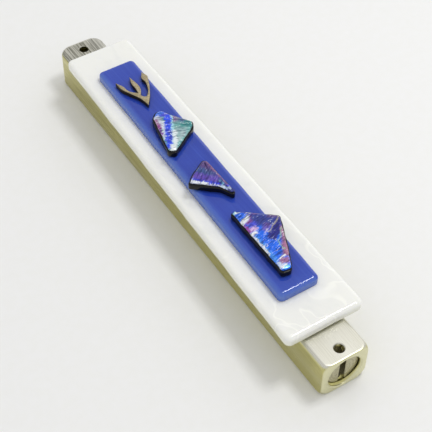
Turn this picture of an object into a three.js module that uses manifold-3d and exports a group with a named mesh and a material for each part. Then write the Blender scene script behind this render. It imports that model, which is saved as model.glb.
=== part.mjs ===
// A mezuzah case: a hollow aluminium bar that holds a rolled parchment, closed at its lower end by a
// slotted screw plug, with two layers of fused glass, three dichroic glass chips and a brass letter on
// its front. Millimetres. The case lies on its back: +Z is out of the front, +Y is the upper end, and
// the origin is the middle of the back face.
import * as THREE from 'three';
import { mergeVertices } from 'three/addons/utils/BufferGeometryUtils.js';
import Module from 'manifold-3d';

const wasm = await Module();
wasm.setup();

// Case bar
const BAR_LENGTH = 150;
const BAR_WIDTH = 15;
const BAR_DEPTH = 13.1;
const FRONT_EDGE_RADIUS = 1.2;
const BACK_EDGE_RADIUS = 1.0;
const TOP_CORNER_RADIUS = 3.0;
const PLUG_END_CORNER_RADIUS = 0.6;
const PLUG_END_TURNED_EASE = 0.2;
const PLUG_END_TURNED_LENGTH = 3.2;
const PLUG_END_TURNED_RISE = 3.2;

// Wall screw holes, front to back
const SCREW_HOLE_RADIUS = 1.5;
const SCREW_HOLE_CHAMFER = 0.3;
const SCREW_HOLE_INSET = 3.8;

// Bore, its thread and the plug
const BORE_WALL = 1.3;
const BORE_TOP_LAND = 5.0;
const THREAD_PITCH = 1.5;
const THREAD_DEPTH = 0.5;
const THREAD_CLEARANCE = 0.2;
const THREAD_TURNS = 5;
const PLUG_RECESS = 1.2;
const PLUG_SLOT_WIDTH = 2.0;
const SLOT_PAST_HOLE = 0.6;
const PLUG_NOSE_LENGTH = 3.0;

// Seal ring on the plug's nose
const SEAL_SECTION_RADIUS = 0.75;
const SEAL_BORE_CLEARANCE = 0.15;
const SEAL_GROOVE_CLEARANCE = 0.15;

// Parchment scroll and its clear sleeve
const SLEEVE_HEAD_ROOM = 6.2;
const SCROLL_PLUG_GAP = 1.0;
const SLEEVE_WALL = 0.25;
const SLEEVE_CLEARANCE = 0.35;
const SLEEVE_OVERHANG = 0.4;
const PARCHMENT_THICKNESS = 0.35;
const PARCHMENT_WRAP_GAP = 0.4;
const SCROLL_CORE_RADIUS = 1.5;

// Glass layers, from the metal outwards
const BOND_GAP = 0.05;
const BOND_PAD_THICKNESS = 0.4;
const BOND_PAD_EDGE_INSET = 2.0;
const BOND_PAD_CORNER_RADIUS = 1.0;
const TOP_TAB = 9.9;
const BOTTOM_TAB = 10.4;
const WHITE_THICKNESS = 3.3;
const WHITE_TOP_WIDTH = 22.8;
const WHITE_BOTTOM_WIDTH = 25.4;
const WHITE_TOP_SHIFT = 1.8;
const WHITE_BOTTOM_SHIFT = 0.5;
const WHITE_CORNER_RADIUS = 2.0;
const BLUE_THICKNESS = 2.9;
const BLUE_TOP_WIDTH = 12.9;
const BLUE_BOTTOM_WIDTH = 13.3;
const BLUE_TOP_SHIFT = 1.4;
const BLUE_BOTTOM_SHIFT = -0.1;
const BLUE_TOP_MARGIN = 13.3;
const BLUE_BOTTOM_MARGIN = 11.5;
const BLUE_CORNER_RADIUS = 1.6;
const GLASS_EDGE_ROUND = 1.1;

// Ornaments down the blue glass
const LETTER_HEIGHT = 14.3;
const LETTER_THICKNESS = 1.5;
const LETTER_FOOT_SHIFT = 0.75;
const CHIP_BASE_THICKNESS = 1.9;
const CHIP_CAP_THICKNESS = 0.6;
const CHIP_CAP_INSET = 0.35;
const CHIP_CORNER_REACH = 0.9;
// Shares of the blue glass left bare above, between and below the four ornaments
const ORNAMENT_GAP_SHARES = [0.305, 0.14, 0.22, 0.18, 0.155];

// Facets
const ROUND_SEGMENTS = 40;
const HOLE_SEGMENTS = 24;
const CORNER_SEGMENTS = 4;
const CHIP_CORNER_SEGMENTS = 2;
const LETTER_SEGMENTS = 5;
const EDGE_SEGMENTS = 3;
const SEAL_SECTION_SEGMENTS = 8;
const SPIRAL_STEPS_PER_TURN = 24;
const THREAD_ROWS_PER_TURN = 5;
const THREAD_SEGMENTS = 28;
// The most of a side that one rounded corner may take
const LONGEST_REACH_SHARE = 0.48;
const CUT_OVERSHOOT = 1.0;

// Places that follow from the sizes above
const halfLength = BAR_LENGTH / 2;
const boreCentreZ = BAR_DEPTH / 2;
const boreRadius = Math.min(BAR_WIDTH, BAR_DEPTH) / 2 - BORE_WALL;
const plugEndTurnedRadius = Math.max(BAR_WIDTH, BAR_DEPTH) / 2 + PLUG_END_TURNED_EASE;
const topHoleY = halfLength - SCREW_HOLE_INSET;
const plugHoleY = -halfLength + SCREW_HOLE_INSET;
const boreTopY = topHoleY - SCREW_HOLE_RADIUS - BORE_TOP_LAND;
const threadLength = THREAD_TURNS * THREAD_PITCH;
const plugFaceY = -halfLength + PLUG_RECESS;
const threadEndY = plugFaceY + threadLength;
const plugEndY = threadEndY + PLUG_NOSE_LENGTH;
const plugRootRadius = boreRadius - THREAD_CLEARANCE;
const sealRingRadius = boreRadius - SEAL_BORE_CLEARANCE - SEAL_SECTION_RADIUS;
const sealCentreY = threadEndY + PLUG_NOSE_LENGTH / 2;
const sleeveRadius = boreRadius - SLEEVE_CLEARANCE;
const sleeveBottomY = plugEndY + SCROLL_PLUG_GAP;
const sleeveTopY = boreTopY - SLEEVE_HEAD_ROOM;
const whiteTopY = halfLength - TOP_TAB;
const whiteBottomY = -halfLength + BOTTOM_TAB;
const blueTopY = whiteTopY - BLUE_TOP_MARGIN;
const blueBottomY = whiteBottomY + BLUE_BOTTOM_MARGIN;
const bondPadZ = BAR_DEPTH + BOND_GAP;
const whiteZ = bondPadZ + BOND_PAD_THICKNESS + BOND_GAP;
const blueZ = whiteZ + WHITE_THICKNESS + BOND_GAP;
const ornamentZ = blueZ + BLUE_THICKNESS + BOND_GAP;

/** Turns a closed geometry into a manifold solid. */
function toSolid(geometry) {
  const bare = geometry.clone();
  bare.deleteAttribute('normal');
  bare.deleteAttribute('uv');
  const merged = mergeVertices(bare, 1e-4);
  return new wasm.Manifold(new wasm.Mesh({
    numProp: 3,
    vertProperties: new Float32Array(merged.attributes.position.array),
    triVerts: new Uint32Array(merged.index.array),
  }));
}

/** Turns a manifold solid back into a geometry. */
function toGeometry(solid) {
  const mesh = solid.getMesh();
  const geometry = new THREE.BufferGeometry();
  geometry.setAttribute('position', new THREE.BufferAttribute(new Float32Array(mesh.vertProperties), 3));
  geometry.setIndex(new THREE.BufferAttribute(new Uint32Array(mesh.triVerts), 1));
  geometry.computeVertexNormals();
  return geometry;
}

/**
 * A closed outline with each corner [x, y, reach] rounded by an arc that touches both its sides at the
 * reach from the corner, so a square corner's radius is its reach and a gentle corner's is larger.
 */
function roundedOutline(corners) {
  const shape = new THREE.Shape();
  corners.forEach(([x, y, stated], index) => {
    const corner = new THREE.Vector2(x, y);
    const before = corners[(index + corners.length - 1) % corners.length];
    const after = corners[(index + 1) % corners.length];
    const inward = new THREE.Vector2(before[0], before[1]).sub(corner);
    const outward = new THREE.Vector2(after[0], after[1]).sub(corner);
    const halfAngle = Math.acos(inward.clone().normalize().dot(outward.clone().normalize())) / 2;
    const reach = Math.min(stated, LONGEST_REACH_SHARE * Math.min(inward.length(), outward.length()));
    const arcRadius = reach * Math.tan(halfAngle);
    const bisector = inward.clone().normalize().add(outward.clone().normalize()).normalize();
    const centre = corner.clone().addScaledVector(bisector, arcRadius / Math.sin(halfAngle));
    const start = corner.clone().addScaledVector(inward.clone().normalize(), reach).sub(centre);
    const end = corner.clone().addScaledVector(outward.clone().normalize(), reach).sub(centre);
    const clockwise = start.cross(end) < 0;
    shape.absarc(centre.x, centre.y, arcRadius, start.angle(), end.angle(), clockwise);
  });
  shape.closePath();
  return shape;
}

/** Carries an outline drawn in x and y straight up from z = low to z = high. */
function raise(shape, low, high, curveSegments = CORNER_SEGMENTS) {
  const options = { depth: high - low, bevelEnabled: false, curveSegments };
  return new THREE.ExtrudeGeometry(shape, options).translate(0, 0, low);
}

/** The same as raise, with both rims rounded in by the given radius. */
function raiseRounded(shape, low, high, round) {
  const geometry = new THREE.ExtrudeGeometry(shape, {
    depth: high - low - 2 * round,
    bevelThickness: round,
    bevelSize: round,
    bevelOffset: -round,
    bevelSegments: EDGE_SEGMENTS,
    curveSegments: CORNER_SEGMENTS,
  });
  return geometry.translate(0, 0, low + round);
}

/** Carries an outline drawn in x and z along Y from y = low to y = high. */
function carryAlongY(shape, low, high) {
  return raise(shape, low - high, 0).rotateX(Math.PI / 2).translate(0, low, 0);
}

/** Turns a profile of [radius, y] points about the bore's axis. */
function turnAboutBore(profile, segments = ROUND_SEGMENTS) {
  const points = profile.map(([radius, y]) => new THREE.Vector2(radius, y));
  return new THREE.LatheGeometry(points, segments).translate(0, 0, boreCentreZ);
}

/**
 * A rod along the bore's axis with a right-hand thread: its radius is the root radius plus a cosine
 * crest that goes round once for each pitch.
 */
function threadedRod(rootRadius, low, high) {
  const rows = Math.round(((high - low) / THREAD_PITCH) * THREAD_ROWS_PER_TURN);
  const rod = new THREE.CylinderGeometry(1, 1, high - low, THREAD_SEGMENTS, rows);
  rod.translate(0, (low + high) / 2, 0);
  const position = rod.attributes.position;
  for (let index = 0; index < position.count; index += 1) {
    const x = position.getX(index);
    const y = position.getY(index);
    const z = position.getZ(index);
    if (Math.hypot(x, z) > 0.5) {
      const turnsRound = Math.atan2(z, x) / (2 * Math.PI);
      const phase = 2 * Math.PI * (-(y + halfLength) / THREAD_PITCH - turnsRound);
      const radius = rootRadius + THREAD_DEPTH * (0.5 + 0.5 * Math.cos(phase));
      position.setXYZ(index, x * radius, y, z * radius);
    }
  }
  return rod.translate(0, 0, boreCentreZ);
}

/** The bar before it is bored: its section, its outline from the front, and its turned lower end. */
function barBlank() {
  const half = BAR_WIDTH / 2;
  const section = roundedOutline([
    [-half, 0, BACK_EDGE_RADIUS],
    [half, 0, BACK_EDGE_RADIUS],
    [half, BAR_DEPTH, FRONT_EDGE_RADIUS],
    [-half, BAR_DEPTH, FRONT_EDGE_RADIUS],
  ]);
  const plan = roundedOutline([
    [-half, -halfLength, PLUG_END_CORNER_RADIUS],
    [half, -halfLength, PLUG_END_CORNER_RADIUS],
    [half, halfLength, TOP_CORNER_RADIUS],
    [-half, halfLength, TOP_CORNER_RADIUS],
  ]);
  const turned = [[0, -halfLength]];
  for (let step = 0; step <= 8; step += 1) {
    const angle = (step / 8) * (Math.PI / 2);
    const radius = plugEndTurnedRadius + PLUG_END_TURNED_RISE * Math.sin(angle);
    turned.push([radius, -halfLength + PLUG_END_TURNED_LENGTH * (1 - Math.cos(angle))]);
  }
  const fullRadius = plugEndTurnedRadius + PLUG_END_TURNED_RISE;
  turned.push([fullRadius, halfLength + CUT_OVERSHOOT], [0, halfLength + CUT_OVERSHOOT]);
  return toSolid(carryAlongY(section, -halfLength - CUT_OVERSHOOT, halfLength + CUT_OVERSHOOT))
    .intersect(toSolid(raise(plan, -CUT_OVERSHOOT, BAR_DEPTH + CUT_OVERSHOOT)))
    .intersect(toSolid(turnAboutBore(turned)));
}

/** The cutter for one wall screw hole, chamfered where it meets the front and the back. */
function screwHoleCutter(y) {
  const wide = SCREW_HOLE_RADIUS + SCREW_HOLE_CHAMFER;
  const profile = [
    [0, -CUT_OVERSHOOT],
    [wide, -CUT_OVERSHOOT],
    [wide, 0],
    [SCREW_HOLE_RADIUS, SCREW_HOLE_CHAMFER],
    [SCREW_HOLE_RADIUS, BAR_DEPTH - SCREW_HOLE_CHAMFER],
    [wide, BAR_DEPTH],
    [wide, BAR_DEPTH + CUT_OVERSHOOT],
    [0, BAR_DEPTH + CUT_OVERSHOOT],
  ].map(([radius, z]) => new THREE.Vector2(radius, z));
  return toSolid(new THREE.LatheGeometry(profile, HOLE_SEGMENTS).rotateX(Math.PI / 2).translate(0, y, 0));
}

/** The case: the blank with its bore, the bore's internal thread and the two screw holes. */
function caseBody() {
  const boreLow = -halfLength - CUT_OVERSHOOT;
  const bore = toSolid(turnAboutBore([
    [0, boreLow],
    [boreRadius, boreLow],
    [boreRadius, boreTopY],
    [0, boreTopY],
  ]));
  const thread = toSolid(threadedRod(boreRadius, -halfLength - THREAD_PITCH, threadEndY + THREAD_PITCH / 3));
  let body = barBlank().subtract(bore).subtract(thread);
  for (const y of [topHoleY, plugHoleY]) {
    body = body.subtract(screwHoleCutter(y));
  }
  return toGeometry(body);
}

/** The plug: a threaded rod, a nose with a groove for the seal ring, and a slot across its face. */
function screwPlug() {
  const rod = toSolid(threadedRod(plugRootRadius, plugFaceY, threadEndY));
  const grooveHalf = SEAL_SECTION_RADIUS + SEAL_GROOVE_CLEARANCE;
  const grooveRadius = sealRingRadius - SEAL_SECTION_RADIUS - SEAL_GROOVE_CLEARANCE;
  const nose = toSolid(turnAboutBore([
    [0, threadEndY - THREAD_PITCH],
    [plugRootRadius, threadEndY - THREAD_PITCH],
    [plugRootRadius, sealCentreY - grooveHalf],
    [grooveRadius, sealCentreY - grooveHalf],
    [grooveRadius, sealCentreY + grooveHalf],
    [plugRootRadius, sealCentreY + grooveHalf],
    [plugRootRadius, plugEndY],
    [0, plugEndY],
  ]));
  const slotDepth = plugHoleY + SCREW_HOLE_RADIUS + SLOT_PAST_HOLE - plugFaceY;
  const slot = new THREE.BoxGeometry(PLUG_SLOT_WIDTH, 2 * slotDepth, 2 * BAR_DEPTH);
  slot.translate(0, plugFaceY, boreCentreZ);
  return toGeometry(rod.add(nose).subtract(toSolid(slot)));
}

/** The seal: a rubber ring of round section in the groove of the plug's nose. */
function plugSeal() {
  const sizes = [sealRingRadius, SEAL_SECTION_RADIUS, SEAL_SECTION_SEGMENTS, ROUND_SEGMENTS];
  return new THREE.TorusGeometry(...sizes).rotateX(Math.PI / 2).translate(0, sealCentreY, boreCentreZ);
}

/** The scroll: one sheet rolled into a spiral whose radius grows by a sheet and a gap each turn. */
function parchmentScroll() {
  const pitch = PARCHMENT_THICKNESS + PARCHMENT_WRAP_GAP;
  const largest = sleeveRadius - SLEEVE_WALL - PARCHMENT_WRAP_GAP - PARCHMENT_THICKNESS;
  const turns = (largest - SCROLL_CORE_RADIUS) / pitch;
  const steps = Math.round(turns * SPIRAL_STEPS_PER_TURN);
  const spiral = (offset) => Array.from({ length: steps + 1 }, (_, step) => {
    const angle = (step / steps) * turns * 2 * Math.PI;
    const radius = SCROLL_CORE_RADIUS + offset + (pitch * angle) / (2 * Math.PI);
    return new THREE.Vector2(radius * Math.cos(angle), boreCentreZ + radius * Math.sin(angle));
  });
  const outline = new THREE.Shape([...spiral(PARCHMENT_THICKNESS), ...spiral(0).reverse()]);
  return carryAlongY(outline, sleeveBottomY + SLEEVE_OVERHANG, sleeveTopY - SLEEVE_OVERHANG);
}

/** The sleeve: a thin clear tube round the scroll, a little longer than it at both ends. */
function scrollSleeve() {
  const inner = sleeveRadius - SLEEVE_WALL;
  return turnAboutBore([
    [inner, sleeveBottomY],
    [sleeveRadius, sleeveBottomY],
    [sleeveRadius, sleeveTopY],
    [inner, sleeveTopY],
    [inner, sleeveBottomY],
  ]);
}

/** The outline of a cut glass strip whose two ends can differ in width and in sideways shift. */
function stripOutline(strip) {
  return roundedOutline([
    [strip.bottomShift - strip.bottomWidth / 2, strip.bottomY, strip.cornerRadius],
    [strip.bottomShift + strip.bottomWidth / 2, strip.bottomY, strip.cornerRadius],
    [strip.topShift + strip.topWidth / 2, strip.topY, strip.cornerRadius],
    [strip.topShift - strip.topWidth / 2, strip.topY, strip.cornerRadius],
  ]);
}

const whiteStrip = {
  topY: whiteTopY,
  bottomY: whiteBottomY,
  topWidth: WHITE_TOP_WIDTH,
  bottomWidth: WHITE_BOTTOM_WIDTH,
  topShift: WHITE_TOP_SHIFT,
  bottomShift: WHITE_BOTTOM_SHIFT,
  cornerRadius: WHITE_CORNER_RADIUS,
};

const blueStrip = {
  topY: blueTopY,
  bottomY: blueBottomY,
  topWidth: BLUE_TOP_WIDTH,
  bottomWidth: BLUE_BOTTOM_WIDTH,
  topShift: BLUE_TOP_SHIFT,
  bottomShift: BLUE_BOTTOM_SHIFT,
  cornerRadius: BLUE_CORNER_RADIUS,
};

/** The pad that bonds the glass to the flat of the case's front. */
function glassBondPad() {
  const halfWidth = BAR_WIDTH / 2 - FRONT_EDGE_RADIUS - BOND_PAD_EDGE_INSET / 2;
  const low = whiteBottomY + BOND_PAD_EDGE_INSET;
  const high = whiteTopY - BOND_PAD_EDGE_INSET;
  const pad = roundedOutline([
    [-halfWidth, low, BOND_PAD_CORNER_RADIUS],
    [halfWidth, low, BOND_PAD_CORNER_RADIUS],
    [halfWidth, high, BOND_PAD_CORNER_RADIUS],
    [-halfWidth, high, BOND_PAD_CORNER_RADIUS],
  ]);
  return raise(pad, bondPadZ, bondPadZ + BOND_PAD_THICKNESS);
}

/** The middle of the blue glass at height y, which the ornaments are set out from. */
function blueCentreX(y) {
  return THREE.MathUtils.mapLinear(y, blueBottomY, blueTopY, BLUE_BOTTOM_SHIFT, BLUE_TOP_SHIFT);
}

/** The letter shin, in shares of its height, from its foot round to the right. */
function letterOutline() {
  const stroke = (points) => points.map(([x, y]) => new THREE.Vector2(x, y));
  const shape = new THREE.Shape();
  shape.moveTo(0, 0);
  shape.splineThru(stroke([[0.17, 0.23], [0.33, 0.52], [0.42, 0.74], [0.45, 0.84], [0.4, 1]]));
  shape.splineThru(stroke([[0.3, 0.83], [0.31, 0.66], [0.23, 0.42], [0.12, 0.27]]));
  shape.splineThru(stroke([[0.06, 0.28], [0.015, 0.36]]));
  shape.splineThru(stroke([[0.11, 0.52], [0.13, 0.7], [0.09, 0.99]]));
  shape.splineThru(stroke([[0.025, 0.8], [0.02, 0.62], [0, 0.45]]));
  shape.splineThru(stroke([[-0.09, 0.53], [-0.155, 0.64], [-0.175, 0.8], [-0.265, 0.975]]));
  shape.splineThru(stroke([[-0.255, 0.74], [-0.16, 0.51], [-0.05, 0.27], [0, 0]]));
  return shape;
}

/** The brass letter, with its foot at the given height up the blue glass. */
function shinLetter(footY) {
  const letter = raise(letterOutline(), 0, 1, LETTER_SEGMENTS);
  letter.scale(LETTER_HEIGHT, LETTER_HEIGHT, LETTER_THICKNESS);
  return letter.translate(blueCentreX(footY) - LETTER_FOOT_SHIFT, footY, ornamentZ);
}

// Each chip's corners, from its lowest point up and from the middle of the blue glass, anticlockwise
const CHIPS = [
  {
    name: 'chip_upper',
    length: 18.6,
    corners: [
      [-6.4, 1.4],
      [-4.3, 0],
      [6.0, 6.6],
      [7.1, 8.8],
      [2.7, 15.2],
      [1.4, 17.9],
      [-0.6, 18.6],
      [-3.3, 16.3],
    ],
  },
  {
    name: 'chip_middle',
    length: 16.4,
    corners: [
      [-8.0, 10.2],
      [-3.6, 6.3],
      [-0.8, 4.0],
      [1.2, 0],
      [2.5, 0.5],
      [2.1, 15.7],
      [0.7, 16.4],
      [-5.2, 12.8],
    ],
  },
  {
    name: 'chip_lower',
    length: 26.4,
    corners: [
      [-3.1, 0.5],
      [0.2, 0],
      [3.5, 6.3],
      [8.7, 18.2],
      [-0.1, 25.3],
      [-3.2, 26.4],
    ],
  },
];

/** The lowest point of each ornament, with the glass left bare shared out in the stated gaps. */
function ornamentFeet() {
  const lengths = [LETTER_HEIGHT, ...CHIPS.map((chip) => chip.length)];
  const bare = blueTopY - blueBottomY - lengths.reduce((sum, length) => sum + length, 0);
  let y = blueTopY;
  return lengths.map((length, index) => {
    y -= bare * ORNAMENT_GAP_SHARES[index] + length;
    return y;
  });
}

/** A chip's outline at its place, drawn in by the given inset along each corner's bisector. */
function chipOutline(chip, footY, inset) {
  const centreX = blueCentreX(footY + chip.length / 2);
  const middle = chip.corners
    .reduce((sum, [x, y]) => sum.add(new THREE.Vector2(x, y)), new THREE.Vector2())
    .divideScalar(chip.corners.length);
  return roundedOutline(chip.corners.map(([x, y]) => {
    const fromMiddle = new THREE.Vector2(x, y).sub(middle);
    fromMiddle.setLength(fromMiddle.length() - inset);
    return [centreX + middle.x + fromMiddle.x, footY + middle.y + fromMiddle.y, CHIP_CORNER_REACH];
  }));
}

const group = new THREE.Group();

/** Adds one named piece of the given finish. */
function addPiece(name, geometry, color, roughness, metalness) {
  const material = new THREE.MeshStandardMaterial({ color, roughness, metalness });
  const mesh = new THREE.Mesh(geometry, material);
  mesh.name = name;
  group.add(mesh);
}

addPiece('case_body', caseBody(), 0xc9c8bc, 0.38, 1);
addPiece('screw_plug', screwPlug(), 0xb0ab92, 0.42, 1);
addPiece('plug_seal', plugSeal(), 0x1c1c1c, 0.7, 0);
addPiece('parchment_scroll', parchmentScroll(), 0xeadfc2, 0.75, 0);
addPiece('scroll_sleeve', scrollSleeve(), 0xf2f5f5, 0.1, 0);
addPiece('glass_bond_pad', glassBondPad(), 0xe6e6de, 0.5, 0);
const whitePlate = raiseRounded(stripOutline(whiteStrip), whiteZ, whiteZ + WHITE_THICKNESS, GLASS_EDGE_ROUND);
addPiece('white_glass_plate', whitePlate, 0xf4f4ee, 0.08, 0);
const bluePlate = raiseRounded(stripOutline(blueStrip), blueZ, blueZ + BLUE_THICKNESS, GLASS_EDGE_ROUND);
addPiece('blue_glass_plate', bluePlate, 0x4658b4, 0.08, 0);

const [letterFootY, ...chipFeet] = ornamentFeet();
addPiece('shin_letter', shinLetter(letterFootY), 0xa8976a, 0.35, 1);
CHIPS.forEach((chip, index) => {
  const capZ = ornamentZ + CHIP_BASE_THICKNESS + BOND_GAP;
  const base = chipOutline(chip, chipFeet[index], 0);
  const cap = chipOutline(chip, chipFeet[index], CHIP_CAP_INSET);
  const baseSolid = raise(base, ornamentZ, ornamentZ + CHIP_BASE_THICKNESS, CHIP_CORNER_SEGMENTS);
  const capSolid = raise(cap, capZ, capZ + CHIP_CAP_THICKNESS, CHIP_CORNER_SEGMENTS);
  addPiece(`${chip.name}_base`, baseSolid, 0x101010, 0.12, 0);
  addPiece(`${chip.name}_dichroic`, capSolid, 0x3c6ad8, 0.15, 0.6);
});

export default group;
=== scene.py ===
"""A mezuzah case: a satin aluminium bar under two layers of fused glass, with three dichroic glass
chips and a brass letter shin on its front, and a slotted screw plug that keeps the parchment in.

All places are in metres in the frame's axes: the case lies on its back, +Z is out of its front and
+Y is its upper end.
"""

import logging
import math
from dataclasses import dataclass, field
from enum import Enum

import bpy
import numpy as np
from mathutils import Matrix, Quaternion, Vector


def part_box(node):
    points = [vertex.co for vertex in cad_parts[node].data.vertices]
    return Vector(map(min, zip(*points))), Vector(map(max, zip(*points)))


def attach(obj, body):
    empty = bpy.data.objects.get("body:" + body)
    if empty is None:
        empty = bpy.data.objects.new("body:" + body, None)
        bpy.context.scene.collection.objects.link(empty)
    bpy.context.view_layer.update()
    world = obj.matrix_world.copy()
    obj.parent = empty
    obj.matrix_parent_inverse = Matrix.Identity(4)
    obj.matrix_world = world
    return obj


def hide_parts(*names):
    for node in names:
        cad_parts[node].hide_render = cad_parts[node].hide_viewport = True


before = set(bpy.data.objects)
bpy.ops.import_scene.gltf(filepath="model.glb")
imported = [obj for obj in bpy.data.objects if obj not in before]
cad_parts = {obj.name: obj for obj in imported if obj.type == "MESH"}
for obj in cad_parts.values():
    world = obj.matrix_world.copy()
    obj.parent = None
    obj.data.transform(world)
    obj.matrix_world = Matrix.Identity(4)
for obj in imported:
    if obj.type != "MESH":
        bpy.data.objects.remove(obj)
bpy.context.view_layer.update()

LOG = logging.getLogger("mezuzah_case")
MM = 0.001
TURN = 2 * math.pi
SHARP_DEGREES = 35.0
LEAST_SIDE = 0.004 * MM
CUTTER_PAST = 1.0 * MM
GLASS_IOR = 1.52
Pair = tuple[float, float]
Triple = tuple[float, float, float]


# ---------------------------------------------------------------- nodes


class Node(Enum):
    """The kinds of node that finishes use, each with the settings that it always has."""

    PLACE = ("TexCoord", {})
    CELL = ("Mapping", {"vector_type": "TEXTURE"})
    NOISE = ("TexNoise", {})
    RANGE = ("MapRange", {"interpolation_type": "SMOOTHSTEP"})
    MIX = ("Mix", {"data_type": "RGBA"})
    TIMES = ("Math", {"operation": "MULTIPLY"})
    TIMES_PLUS = ("Math", {"operation": "MULTIPLY_ADD"})
    MINUS = ("Math", {"operation": "SUBTRACT"})
    SIZE = ("Math", {"operation": "ABSOLUTE"})
    VECTOR_TIMES_PLUS = ("VectorMath", {"operation": "MULTIPLY_ADD"})
    VECTOR_MINUS = ("VectorMath", {"operation": "SUBTRACT"})
    VECTOR_SIZE = ("VectorMath", {"operation": "ABSOLUTE"})
    LENGTH = ("VectorMath", {"operation": "LENGTH"})
    SPLIT = ("SeparateXYZ", {})
    JOIN = ("CombineXYZ", {})
    BUMP = ("Bump", {})
    LIT_EDGE = ("Attribute", {"attribute_name": "lit_edge"})
    SHADER = ("BsdfPrincipled", {})
    OUTPUT = ("OutputMaterial", {})


def colour(code: str) -> tuple[float, ...]:
    """Turns an sRGB hex colour into linear RGBA.

    Args:
        code: a colour such as "#a0b0c0".

    Returns:
        The linear red, green, blue and an alpha of 1.
    """
    parts = [int(code[i : i + 2], 16) / 255 for i in (1, 3, 5)]
    return (*[p / 12.92 if p <= 0.04045 else ((p + 0.055) / 1.055) ** 2.4 for p in parts], 1.0)


class Surface:
    """A material as it is filled in: its nodes, its shader and the place on the piece, in metres."""

    def __init__(self, name: str) -> None:
        """Makes the material with its shader.

        Args:
            name: the material's name.
        """
        self.material = bpy.data.materials.new(name)
        self.material.use_nodes = True
        self.tree = self.material.node_tree
        self.tree.nodes.clear()
        self.shader = self.add(Node.SHADER).node
        self.add(Node.OUTPUT, self.shader.outputs[0])
        self.point = self.add(Node.PLACE).node.outputs["Object"]

    def feed(self, inputs: list | bpy.types.bpy_prop_collection, values: dict) -> None:
        """Sets or links inputs.

        Args:
            inputs: the sockets.
            values: by a socket's key, the socket that feeds it, a hex colour, a value, or None to
                leave it alone.
        """
        for key, value in values.items():
            if isinstance(value, bpy.types.NodeSocket):
                self.tree.links.new(value, inputs[key])
            elif value is not None:
                inputs[key].default_value = colour(value) if isinstance(value, str) else value

    def add(self, kind: Node, *values: object, out: int = 0) -> bpy.types.NodeSocket | None:
        """Adds one node with its settings and links.

        Args:
            kind: the kind of node.
            values: what its live inputs get, in their order, as feed takes it.
            out: which of its live outputs is wanted.

        Returns:
            That output, if it has any.
        """
        name, settings = kind.value
        node = self.tree.nodes.new("ShaderNode" + name)
        for setting, value in settings.items():
            setattr(node, setting, value)
        self.feed([s for s in node.inputs if s.enabled], dict(enumerate(values)))
        outputs = [s for s in node.outputs if s.enabled]
        return outputs[out] if outputs else None

    def grain(self, size: float | Triple, detail: float = 2.0, turn: float = 0.0,
              place: bpy.types.NodeSocket | None = None) -> bpy.types.NodeSocket:
        """Lays noise whose cells have a stated size along X, Y and Z.

        Args:
            size: the cell's length in metres, or its lengths along the three axes.
            detail: how many finer layers it has.
            turn: the pattern's turn about Z, in degrees.
            place: where it is read, if not at the plain place on the piece.

        Returns:
            A value from 0 to 1, near 0.5 on average.
        """
        start = self.point if place is None else place
        cell_size = size if isinstance(size, tuple) else (size,) * 3
        cell = self.add(Node.CELL, start, None, (0, 0, math.radians(turn)), cell_size)
        return self.add(Node.NOISE, cell, 1.0, detail, 0.6)

    def shade(self, values: dict) -> None:
        """Sets or links the shader's sockets, as feed does.

        Args:
            values: a value or an output for each socket, by name.
        """
        self.feed(self.shader.inputs, values)


@dataclass(frozen=True)
class Finish:
    """What every finish has: a name, and a paint method that fills in its material."""

    name: str

    def material(self) -> bpy.types.Material:
        """Gives the finish's material, which it makes the first time.

        Returns:
            The Blender material.
        """
        made = bpy.data.materials.get(self.name)
        if not made:
            surface = Surface(self.name)
            self.paint(surface)
            made = surface.material
        return made

    def paint(self, on: Surface) -> None:
        """Fills in the material.

        Args:
            on: the material as it is filled in.
        """
        raise NotImplementedError


# ---------------------------------------------------------------- surfaces


def smooth(mesh: bpy.types.Mesh, sharp_degrees: float = SHARP_DEGREES) -> None:
    """Shades a mesh smooth but for its sharp edges.

    Args:
        mesh: the mesh.
        sharp_degrees: edges whose faces meet at more than this stay sharp.
    """
    mesh.shade_smooth()
    mesh.set_sharp_from_angle(angle=math.radians(sharp_degrees))


def put_in_scene(name: str, verts: np.ndarray, faces: list) -> bpy.types.Object:
    """Makes a mesh object whose faces point outwards.

    The signed volume is a sixth of the sum, over the triangle fans of all faces, of each triangle's
    box product, and the faces are turned round if it is negative.

    Args:
        name: the piece's name.
        verts: its points in metres, one row each.
        faces: its faces as lists of point numbers.

    Returns:
        The new object.
    """
    fans = np.array([(f[0], b, c) for f in faces for b, c in zip(f[1:-1], f[2:])])
    a, b, c = (verts[fans[:, k]] for k in range(3))
    if np.einsum("ij,ij->i", a, np.cross(b, c)).sum() < 0:
        faces = [f[::-1] for f in faces]
    mesh = bpy.data.meshes.new(name)
    mesh.from_pydata(verts.tolist(), [], faces)
    smooth(mesh)
    piece = bpy.data.objects.new(name, mesh)
    bpy.context.scene.collection.objects.link(piece)
    return piece


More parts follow.
